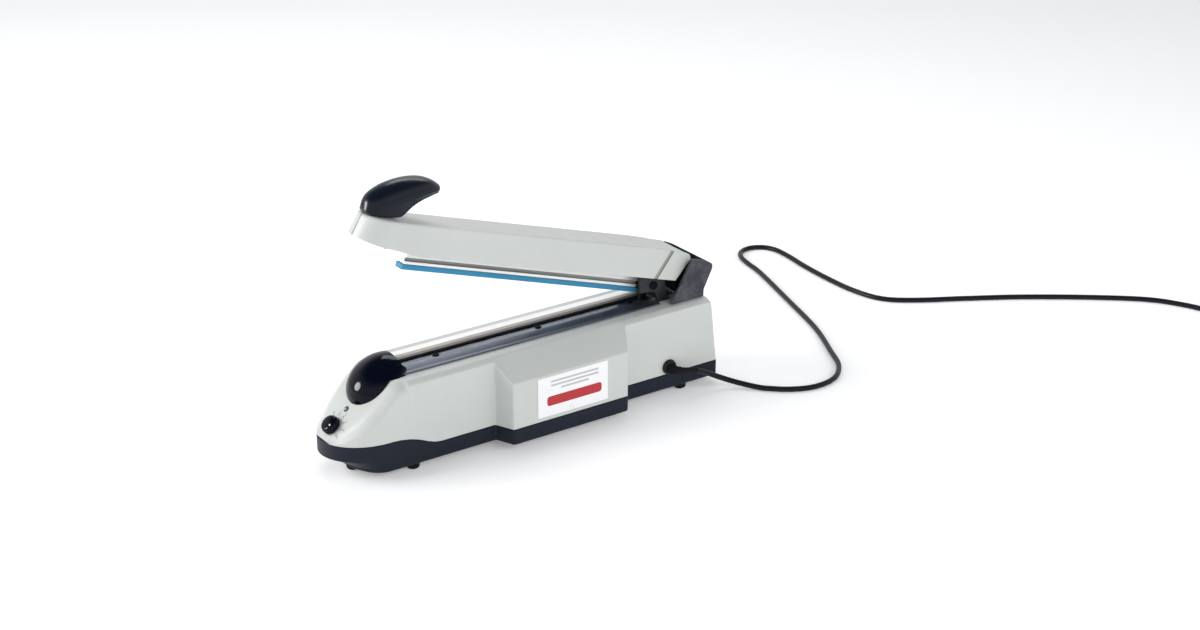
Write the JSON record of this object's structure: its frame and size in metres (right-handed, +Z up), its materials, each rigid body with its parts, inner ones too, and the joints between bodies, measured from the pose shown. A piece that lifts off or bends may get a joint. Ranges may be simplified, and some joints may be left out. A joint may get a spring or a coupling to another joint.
{
  "type": "impulse heat sealer",
  "caption": "Table-top impulse heat sealer: long base with a timer knob and a hot rail, and a hinged pressing arm with a duck-bill handle, shown raised.",
  "frame": {"origin": "centre of the machine's footprint box on the table, at the bottom of the feet, the free cord left out", "axes": "+X along the base towards the hinge and rear, +Y towards the side away from the mains lead, +Z up"},
  "size_m": [1.197, 0.5182, 0.2929],
  "materials": {
    "warm_grey_plastic": "satin",
    "navy_plastic": "satin",
    "gloss_black_plastic": "gloss",
    "black_rubber": "matte",
    "satin_black_plastic": "satin",
    "dusty_black_plastic": "matte",
    "matte_black_metal": "matte",
    "aluminium": "satin",
    "white_aluminium": "satin",
    "zinc_steel": "satin",
    "dark_screw_steel": "satin",
    "brass": "satin",
    "black_phenolic": "matte",
    "nichrome": "satin",
    "release_cloth": "satin",
    "transformer_steel": "matte",
    "winding_tape": "satin",
    "circuit_board": "satin",
    "relay_blue": "satin",
    "led_lens": "gloss",
    "blue_silicone": "satin",
    "white_label": "satin",
    "terminal_white": "satin",
    "black_cord": "satin"
  },
  "bodies": {
    "base": {"base_tray": "navy_plastic", "body_shell": "warm_grey_plastic", "front_dome": "gloss_black_plastic", "seal_rail": "aluminium", "element_insulator": "black_phenolic", "heating_element": "nichrome", "release_cloth": "release_cloth", "element_clamp_front": "brass", "element_clamp_rear": "brass", "rail_screw_1": "dark_screw_steel", "rail_screw_2": "dark_screw_steel", "rail_screw_3": "dark_screw_steel", "transformer_core": "transformer_steel", "transformer_coil": "winding_tape", "transformer_bracket": "zinc_steel", "timer_board": "circuit_board", "timer_pot": "zinc_steel", "timer_relay": "relay_blue", "status_led": "led_lens", "micro_switch": "satin_black_plastic", "terminal_block": "terminal_white", "spring_post": "zinc_steel", "return_spring": "zinc_steel", "hinge_bracket": "matte_black_metal", "hinge_pin": "zinc_steel", "bracket_screw_1": "dark_screw_steel", "bracket_screw_2": "dark_screw_steel", "rear_guard": "dusty_black_plastic", "stop_buffer": "black_rubber", "side_label": "white_label", "foot_nose": "black_rubber", "foot_front_near": "black_rubber", "foot_front_far": "black_rubber", "foot_rear_near": "black_rubber", "foot_rear_far": "black_rubber", "cable_boot": "black_rubber", "boot_nut": "satin_black_plastic", "mains_cord": "black_cord", "cord_coil": "black_cord", "coil_tie": "satin_black_plastic", "plug_body": "black_cord", "plug_lead": "black_cord", "plug_pin_line": "brass", "plug_pin_neutral": "brass"},
    "arm": {"arm_shell": "warm_grey_plastic", "arm_bar": "matte_black_metal", "arm_handle": "gloss_black_plastic", "pad_channel": "white_aluminium", "silicone_strip": "blue_silicone", "tail_cap": "satin_black_plastic", "hinge_bush": "brass"},
    "knob": {"timer_knob": "gloss_black_plastic", "pot_shaft": "brass"},
    "switch": {"switch_rod": "satin_black_plastic"}
  },
  "joints": [
    {"name": "arm_hinge", "type": "hinge", "parent": "base", "child": "arm", "pos_m": [0.16, 0.0105, 0.12], "axis": [0, -1, 0], "range_deg": [0, 17.86], "stiffness_Nm_per_rad": 1.6, "springref_deg": -80.21, "deforming": ["return_spring"]},
    {"name": "timer_knob_turn", "type": "hinge", "parent": "base", "child": "knob", "pos_m": [-0.21504, 0.0105, 0.05122], "axis": [-0.6839, 0, 0.7296], "range_deg": [-16, 144]},
    {"name": "switch_travel", "type": "slide", "parent": "base", "child": "switch", "axis": [0, 0, 1], "range_m": [-0.0016, 0]}
  ],
  "couplings": [
    {"joint": "switch_travel", "follows": "arm_hinge", "m_per_rad": -0.0051}
  ]
}
